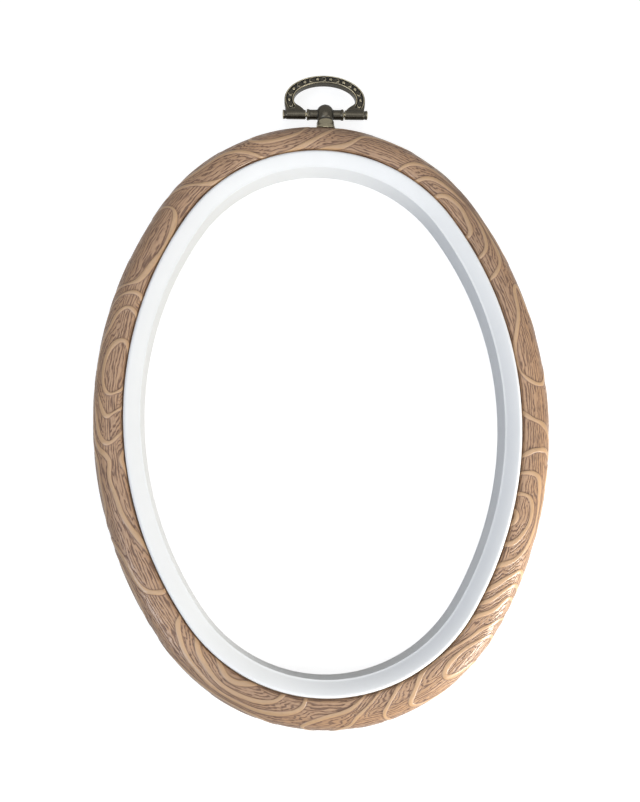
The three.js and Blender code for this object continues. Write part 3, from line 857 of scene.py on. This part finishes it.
def saddle_cutter():
    """A stretch of the outer ring, grown by the saddle's gap."""
    grown = arc(ROUND_CENTRE, RING_MIDDLE, ROUND_RADIUS + SADDLE_GAP, -90, 90, 32)
    inside = [(-MM, OUTER_TOP + SADDLE_GAP), (-MM, OUTER_BOTTOM - SADDLE_GAP)]
    across, onwards, centre_y = math.sin(SADDLE_SWEEP), math.cos(SADDLE_SWEEP), OVAL_Y + END_CENTRE
    reach = [(END_RADIUS + x, z) for x, z in grown + inside]
    cutter = outline("saddle_cutter", [(x * across, centre_y + x * onwards, z) for x, z in reach])
    edit_all(cutter)
    bpy.ops.mesh.spin(steps=12, angle=2 * SADDLE_SWEEP, center=(0, centre_y, 0), axis=SPIN_UP)
    bpy.ops.mesh.select_all(action="DESELECT")
    bpy.ops.mesh.select_non_manifold()
    bpy.ops.mesh.fill_holes(sides=0)
    close_surface(cutter)
    return cutter


def ball_flank():
    """The ball's side as part of a superellipse, fuller than a circle, as radius and height."""
    power = 2 / BALL_FULLNESS
    points = []
    for angle in angles_between(BALL_START, BALL_END, 40):
        height = (BALL_RISE if angle > 0 else -BALL_DROP) * abs(math.sin(angle)) ** power
        points.append((BALL_RADIUS * math.cos(angle) ** power, height))
    return points


def post_profiles():
    """The post's turned parts: base with neck, ball with its tip, and shank."""
    foot, top, radius = RIM_DROP - BASE_FOOT_RADIUS, RIM_DROP + BASE_HEIGHT, BASE_TOP_RADIUS
    base = trace(
        (0, foot), (BASE_FOOT_RADIUS, foot), (BASE_FOOT_RADIUS, RIM_DROP + 0.2 * MM),
        ((radius, RIM_DROP + 0.4 * MM), (radius, top - BASE_EDGE), 5),
        ((radius, top), (radius - BASE_EDGE, top), 3),
        (NECK_RADIUS, top), (NECK_RADIUS, 0), (0, 0),
    )
    tip = BALL_RISE + FINIAL_RISE
    ball = trace(
        (0, -BALL_DROP),
        *ball_flank(),
        ((0.95 * MM, tip - 0.32 * MM), (0.42 * MM, tip - 0.12 * MM), 6),
        ((0.25 * MM, tip), (0, tip), 3),
    )
    shank_start = from_pin(washer_high.y) + FIXING_CLEARANCE
    shank_end = top - BASE_EDGE
    shank = [(0, shank_start), (SHANK_RADIUS, shank_start), (SHANK_RADIUS, shank_end), (0, shank_end)]
    return base, ball, shank


def mirrored(half):
    """A profile's other half, in the order that leads up to it."""
    return [(r, -x) for r, x in reversed(half)]


def barrel():
    """The cross barrel, with a raised rim at each end."""
    rim = BARREL_RADIUS + BARREL_RIM
    start = BARREL_HALF - BARREL_RIM_LENGTH
    half = [(BARREL_RADIUS, start - 0.25 * MM), (rim - 0.05 * MM, start), (rim, start + 0.15 * MM)]
    half += [(rim, BARREL_HALF - 0.2 * MM), (rim - 0.2 * MM, BARREL_HALF), (0, BARREL_HALF)]
    return turned("barrel", mirrored(half) + half, "X")


class HOOP_OT_hanger_post(bpy.types.Operator):
    """Add the hanger's post, with its saddle foot, ball and barrel"""

    bl_idname = "hoop.hanger_post"
    bl_label = "Hanger Post"

    def execute(self, context):
        base, ball, shank = post_profiles()
        post = turned("hanger_post_cast", base, "Y")
        combine(post, saddle_cutter())
        for profile in (ball, shank):
            combine(post, turned("turned_part", profile, "Y"), "UNION")
        combine(post, barrel(), "UNION")
        combine(post, pin_bore())
        start, end = from_pin(washer_low.y), from_pin(screw_high.y) + FIXING_CLEARANCE
        combine(post, bar(SCREW_RADIUS + FIXING_CLEARANCE, start, end, "Y"))
        cast(post, 4)
        hand_over(post, hanger_material(context), "hanger_post", "rim")
        return {"FINISHED"}


def hanger_material(context):
    return bpy.data.materials.get("cast_brass") or aged_brass(context.scene.hoop_hanger)


def arch(across, start, end, steps):
    """Points along the arch's ellipse, at a distance outwards from the middle of its width."""
    wide = BOW_HALF_WIDTH - BOW_SIDE_WIDTH / 2 + across * (BOW_SIDE_WIDTH / BOW_CROWN_WIDTH)
    high = BOW_HEIGHT - BOW_SHOULDER - BOW_CROWN_WIDTH / 2 + across
    return ellipse(0, BOW_SHOULDER, wide, high, start, end, steps)


def bow_half_outline():
    """The right half of the bow's outline: the outside from the foot up, and the inside back down."""
    outer, inner = arch(BOW_CROWN_WIDTH / 2, 0, 90, 20), arch(-BOW_CROWN_WIDTH / 2, 90, 0, 20)
    foot = (BOW_HALF_WIDTH - BOW_FOOT_TUCK, 0)
    web_foot, web_top = KNUCKLE_START + WEB_SETBACK, KNUCKLE_RADIUS - KNUCKLE_EDGE
    last = inner[-1]
    lean_x, lean_y = (last[0] - web_foot) * WEB_FULLNESS, (BOW_SHOULDER - web_top) * WEB_FULLNESS
    outside = trace(foot, ((outer[0][0], BOW_SHOULDER / 2), outer[0], 8), *outer[1:])
    leans = (last[0], BOW_SHOULDER - lean_y), (web_foot + lean_x, web_top + lean_y)
    return outside, trace(*inner, (*leans, (web_foot, web_top), 10), (web_foot, 0))


def prism(name, points, low, high):
    """A flat outline about the pin's axis, filled and extruded between two heights above the axis."""
    piece = outline(name, [(PIN_X + x, PIN_Y + y, RING_MIDDLE + low) for x, y in points])
    edit_all(piece)
    bpy.ops.mesh.edge_face_add()
    bpy.ops.mesh.extrude_region_move(TRANSFORM_OT_translate={"value": (0, 0, high - low)})
    close_surface(piece)
    return piece


def bow_plate():
    """The flat bow with rounded edges."""
    outside, inside = bow_half_outline()
    points = outside + [(-x, y) for x, y in reversed(outside[:-1])]
    points += [(-x, y) for x, y in reversed(inside)] + inside[1:]
    plate = prism("hanger_bow_cast", points, -BOW_THICKNESS / 2, BOW_THICKNESS / 2)
    limit = math.radians(60)
    modify(plate, "BEVEL", width=0.4 * MM, segments=3, limit_method="ANGLE", angle_limit=limit)
    return plate


def bow_channel(hanger):
    """The cutter for the channel in the bow's front."""
    half = BOW_CROWN_WIDTH / 2 - hanger.channel_rim
    start, end = CHANNEL_START, 180 - CHANNEL_START
    points = arch(half, start, end, 60) + arch(-half, end, start, 60)
    return prism("channel", points, BOW_THICKNESS / 2 - hanger.channel_depth, BOW_THICKNESS)


def ornament_places(count):
    """Evenly spaced places along the channel, each with its heading towards the crown."""
    line = arch(0, ORNAMENT_START, 180 - ORNAMENT_START, 400)
    runs = np.cumsum([0] + [math.dist(a, b) for a, b in zip(line, line[1:])])
    places = []
    for i in range(count):
        k = min(int(np.searchsorted(runs, runs[-1] * i / (count - 1))), len(line) - 2)
        x, y = line[k]
        heading = math.atan2(line[k + 1][1] - y, line[k + 1][0] - x)
        places.append((PIN_X + x, PIN_Y + y, heading + (math.pi if 2 * i >= count else 0)))
    return places


def pebble(radius, *shares):
    """A ball with its own share of the radius along each axis."""
    clear_selection()
    bpy.ops.mesh.primitive_uv_sphere_add(segments=20, ring_count=12, radius=1)
    piece = bpy.context.object
    edit_all(piece)
    bpy.ops.transform.resize(value=[radius * share for share in shares])
    enter("OBJECT")
    return piece


def bead(radius):
    return pebble(radius, 1.1, 0.95, 0.95)


def crescent(radius):
    """A curved leaf, thick in its middle and thin at its ends, open towards +X."""
    leaf, hollow = pebble(radius, 1.45, 1.3, 0.8), pebble(radius, 1.2, 0.85, 2)
    set_down(hollow, 0.55 * radius, 0, 0, 0)
    combine(leaf, hollow)
    return leaf


def ornaments(hanger):
    """Crescents and beads by turns along the channel's floor."""
    floor = RING_MIDDLE + BOW_THICKNESS / 2 - hanger.channel_depth
    pieces = []
    for i, (x, y, heading) in enumerate(ornament_places(2 * hanger.bead_count + 1)):
        pieces.append((bead if i % 2 else crescent)(hanger.bead_radius))
        set_down(pieces[-1], x, y, floor, heading)
    return pieces


def set_down(piece, x, y, z, heading):
    """Turns a small piece to its heading and moves it to its place, in its mesh."""
    take(piece)
    piece.location = (x, y, z)
    piece.rotation_euler = (0, 0, heading)
    bpy.ops.object.transform_apply(location=True, rotation=True, scale=True)


def knuckle():
    """One turned knuckle, with a groove near its outer end."""
    radius, edge, groove = KNUCKLE_RADIUS, KNUCKLE_EDGE, 0.4 * MM
    start = KNUCKLE_END - edge - 3 * groove
    profile = [(0, KNUCKLE_START), (radius - edge, KNUCKLE_START), (radius, KNUCKLE_START + edge)]
    profile += [(radius, start), (radius - 0.2 * MM, start + groove), (radius, KNUCKLE_END - edge)]
    return profile + [(radius - edge, KNUCKLE_END), (0, KNUCKLE_END)]


class HOOP_OT_hanger_bow(bpy.types.Operator):
    """Add the hanging bow, with its knuckles and the ornament in its channel"""

    bl_idname = "hoop.hanger_bow"
    bl_label = "Hanger Bow"

    def execute(self, context):
        hanger = context.scene.hoop_hanger
        bow = bow_plate()
        combine(bow, bow_channel(hanger))
        for side in (1, -1):
            profile = [(r, side * x) for r, x in knuckle()]
            combine(bow, turned("knuckle", profile, "X"), "UNION")
        combine(bow, pin_bore())
        join(bow, ornaments(hanger))
        cast(bow, 3)
        hand_over(bow, hanger_material(context), "hanger_bow", "bow")
        return {"FINISHED"}


class HOOP_OT_hinge_pin(bpy.types.Operator):
    """Add the pin that the bow swings on"""

    bl_idname = "hoop.hinge_pin"
    bl_label = "Hinge Pin"

    def execute(self, context):
        radius, end = PIN_RADIUS, pin_high.x - PIN_X
        dome = ((radius, end - 0.02 * MM), (radius * 0.55, end - 0.01 * MM), 5)
        half = trace((radius, end - 0.25 * MM), dome, (0, end))
        profile = trace(*mirrored(half), (half[0], 40))[:-1] + half
        pin = turned("hinge_pin_turned", profile, "X", steps=32)
        mark_wear(pin)
        smooth_shade(pin, 40)
        hand_over(pin, hanger_material(context), "hinge_pin", "rim")
        return {"FINISHED"}


def screw_profile():
    """The screw: head with a rounded edge, neck, and a threaded shank with a blunt tip."""
    head_low, end = from_pin(screw_low.y), from_pin(screw_high.y)
    head_high = head_low + HEAD_HEIGHT
    radius = SCREW_RADIUS
    start = head_high + 0.8 * MM
    profile = trace(
        (0, head_low), (HEAD_RADIUS - 0.4 * MM, head_low),
        ((HEAD_RADIUS, head_low), (HEAD_RADIUS, head_low + 0.35 * MM), 5),
        (HEAD_RADIUS, head_high - 0.08 * MM), (HEAD_RADIUS - 0.08 * MM, head_high),
        (radius, head_high), (radius, start),
    )
    pitch = (end - 0.4 * MM - start) / THREAD_TURNS
    for i in range(THREAD_TURNS):
        profile += [(radius - THREAD_DEPTH, start + pitch * (i + 0.5)), (radius, start + pitch * (i + 1))]
    return profile + [(radius - 0.4 * MM, end), (0, end)]


class HOOP_OT_fixing(bpy.types.Operator):
    """Add the screw and the washer that hold the hanger"""

    bl_idname = "hoop.fixing"
    bl_label = "Fixing Screw and Washer"

    def execute(self, context):
        steel = fixing_steel(context.scene.hoop_hanger)
        screw = turned("fixing_screw_slotted", screw_profile(), "Y")
        low, reach = from_pin(screw_low.y), 3 * MM
        points = [(-reach, -MM), (reach, -MM), (reach, SLOT_DEPTH), (-reach, SLOT_DEPTH)]
        slot = prism("slot", [(x, low + y) for x, y in points], -SLOT_HALF, SLOT_HALF)
        combine(screw, slot)
        smooth_shade(screw, 30)
        hand_over(screw, steel, "fixing_screw", "rim")
        hole, edge = SCREW_RADIUS + FIXING_CLEARANCE, 0.1 * MM
        start, end = from_pin(washer_low.y), from_pin(washer_high.y)
        ring = [(hole, start), (WASHER_RADIUS - edge, start), (WASHER_RADIUS, start + edge)]
        ring += [(WASHER_RADIUS, end - edge), (WASHER_RADIUS - edge, end), (hole, end), (hole, start)]
        washer = turned("fixing_washer_turned", ring, "Y")
        smooth_shade(washer, 30)
        hand_over(washer, steel, "fixing_washer", "rim")
        return {"FINISHED"}


class HOOP_OT_stage(bpy.types.Operator):
    """Add the floor, the lights and the camera"""

    bl_idname = "hoop.stage"
    bl_label = "Stage"

    def execute(self, context):
        stage = context.scene.hoop_stage
        add_floor(stage)
        add_world(stage)
        add_lamp("key", (0.37, -0.29, 0.305), 0.3, stage.key_power, (1, 0.985, 0.95))
        add_lamp("fill", (-0.42, -0.32, 0.6), 0.4, stage.fill_power, (0.74, 0.84, 1.0))
        add_lamp("top", (0, 0, 0.9), 0.7, stage.top_power)
        add_lamp("glow", (0.14, -0.135, 0.062), 0.06, stage.glow_power, (1, 0.99, 0.94))
        add_camera()
        context.scene.view_settings.view_transform = "Standard"
        return {"FINISHED"}


def seen_directly(recipe):
    """One for the camera's rays, reflections and rays through glass, and nought for the rest."""
    names = ("Is Camera Ray", "Is Glossy Ray", "Is Transmission Ray")
    camera, glossy, through = (recipe.node("LightPath", output=name) for name in names)
    return camera.maths("MAXIMUM", glossy).maths("MAXIMUM", through)


def add_floor(stage):
    clear_selection()
    bpy.ops.mesh.primitive_plane_add(size=6, location=(0, 0, 0))
    floor = bpy.context.object
    floor.name = "floor"
    r = Recipe(bpy.data.materials.new("floor"))
    white = tuple(1 - c * 0.45 for c in stage.floor_colour)
    diffuse = r.node("BsdfDiffuse", {}, {"Color": opaque(stage.floor_colour)})
    glow = r.node("Emission", {}, {"Color": opaque(white), "Strength": seen_directly(r)})
    both = r.node("AddShader", {}, {0: diffuse, 1: glow})
    floor.data.materials.append(r.surface(both))


def add_world(stage):
    """White where it is seen or mirrored, and a low even light elsewhere."""
    r = Recipe(bpy.data.worlds.new("studio"))
    level = seen_directly(r).maths("MULTIPLY_ADD", 1 - stage.ambient, stage.ambient)
    background = r.node("Background", {}, {"Color": opaque((1, 1, 1)), "Strength": level})
    r.node("OutputWorld", {}, {"Surface": background})
    bpy.context.scene.world = r.owner


def add_lamp(name, place, size, power, colour=(1, 1, 1)):
    clear_selection()
    turn = (-Vector(place)).to_track_quat("-Z", "Y").to_euler()
    bpy.ops.object.light_add(type="AREA", location=place, rotation=turn)
    lamp = bpy.context.object
    lamp.name = name
    lamp.data.size = size
    lamp.data.energy = power
    lamp.data.color = colour


def add_camera():
    clear_selection()
    turn = Euler([math.radians(a) for a in CAMERA_TURN])
    bpy.ops.object.camera_add(location=CAMERA_PLACE, rotation=turn)
    camera = bpy.context.object
    camera.data.lens = CAMERA_LENS
    camera.data.sensor_width = 36
    camera.data.clip_start = 10 * MM
    bpy.context.scene.camera = camera


class HOOP_PT_parts(bpy.types.Panel):
    """The hoop's pieces and their sizes"""

    bl_label = "Embroidery Hoop"
    bl_idname = "HOOP_PT_parts"
    bl_space_type = "VIEW_3D"
    bl_region_type = "UI"
    bl_category = "Hoop"

    def draw(self, context):
        for group, (kind, *operators) in SECTIONS.items():
            box = self.layout.box()
            for operator in operators:
                box.operator(operator.bl_idname)
            for name in kind.__annotations__:
                box.prop(getattr(context.scene, group), name)


# Each section of the panel: its settings, and the operators that use them.
SECTIONS = {
    "hoop_rim": (RimSettings, HOOP_OT_outer_ring),
    "hoop_inner": (InnerSettings, HOOP_OT_inner_ring),
    "hoop_hanger": (
        HangerSettings, HOOP_OT_hanger_post, HOOP_OT_hanger_bow, HOOP_OT_hinge_pin, HOOP_OT_fixing
    ),
    "hoop_stage": (StageSettings, HOOP_OT_stage),
}
CLASSES = [cls for section in SECTIONS.values() for cls in section] + [HOOP_PT_parts]


def register():
    for cls in CLASSES:
        bpy.utils.register_class(cls)
    for name, (settings, *_) in SECTIONS.items():
        setattr(bpy.types.Scene, name, PointerProperty(type=settings))


def unregister():
    for name in SECTIONS:
        delattr(bpy.types.Scene, name)
    for cls in reversed(CLASSES):
        bpy.utils.unregister_class(cls)


def main():
    register()
    for _, *operators in SECTIONS.values():
        for operator in operators:
            getattr(bpy.ops.hoop, operator.bl_idname.split(".")[1])()


if __name__ == "__main__":
    main()
